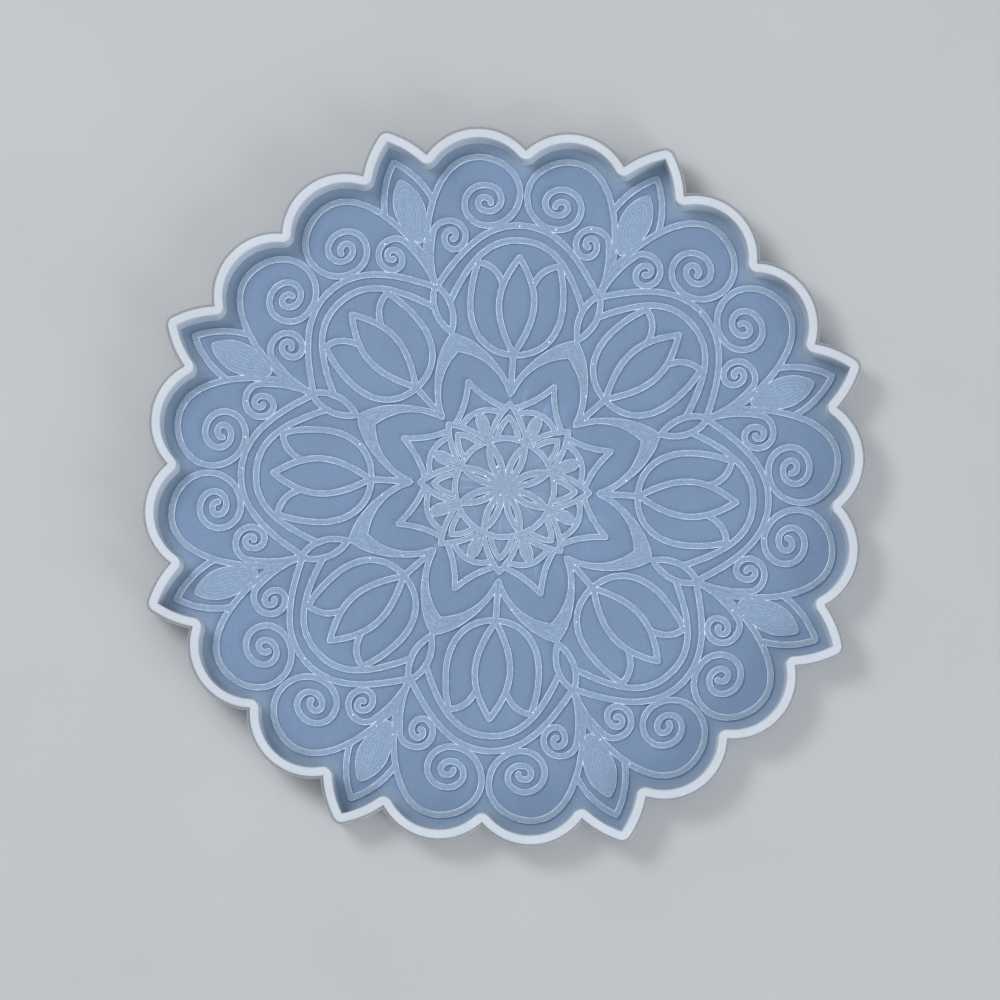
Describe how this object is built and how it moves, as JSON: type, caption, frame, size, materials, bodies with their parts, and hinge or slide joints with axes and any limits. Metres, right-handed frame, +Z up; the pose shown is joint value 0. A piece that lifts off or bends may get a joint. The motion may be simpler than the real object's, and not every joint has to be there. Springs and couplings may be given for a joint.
{
  "type": "resin casting mould",
  "caption": "Shallow one-piece silicone casting mould for a scalloped round tray, with an upright wall and a raised mandala of scrolls, leaves and tulips on its floor.",
  "frame": {"origin": "middle of the flat underside, on the eightfold axis", "axes": "+Z up out of the open cavity; +Y towards the middle of the first tulip, between two scallops of the wall"},
  "size_m": [0.1992, 0.1992, 0.011],
  "materials": {
    "silicone": "satin, slightly translucent, blue-white"
  },
  "bodies": {
    "root": {"floor_plate": "silicone", "rim_wall": "silicone", "outer_lip": "silicone", "petal_ring": "silicone", "medallion_ring": "silicone", "rosette": "silicone", "tulip_1": "silicone", "tulip_2": "silicone", "tulip_3": "silicone", "tulip_4": "silicone", "tulip_5": "silicone", "tulip_6": "silicone", "tulip_7": "silicone", "tulip_8": "silicone", "scroll_right_1": "silicone", "scroll_right_2": "silicone", "scroll_right_3": "silicone", "scroll_right_4": "silicone", "scroll_right_5": "silicone", "scroll_right_6": "silicone", "scroll_right_7": "silicone", "scroll_right_8": "silicone", "scroll_left_1": "silicone", "scroll_left_2": "silicone", "scroll_left_3": "silicone", "scroll_left_4": "silicone", "scroll_left_5": "silicone", "scroll_left_6": "silicone", "scroll_left_7": "silicone", "scroll_left_8": "silicone", "star_point_1": "silicone", "star_point_2": "silicone", "star_point_3": "silicone", "star_point_4": "silicone", "star_point_5": "silicone", "star_point_6": "silicone", "star_point_7": "silicone", "star_point_8": "silicone", "leaf_sprig_1": "silicone", "leaf_sprig_2": "silicone", "leaf_sprig_3": "silicone", "leaf_sprig_4": "silicone", "leaf_sprig_5": "silicone", "leaf_sprig_6": "silicone", "leaf_sprig_7": "silicone", "leaf_sprig_8": "silicone"}
  },
  "joints": []
}
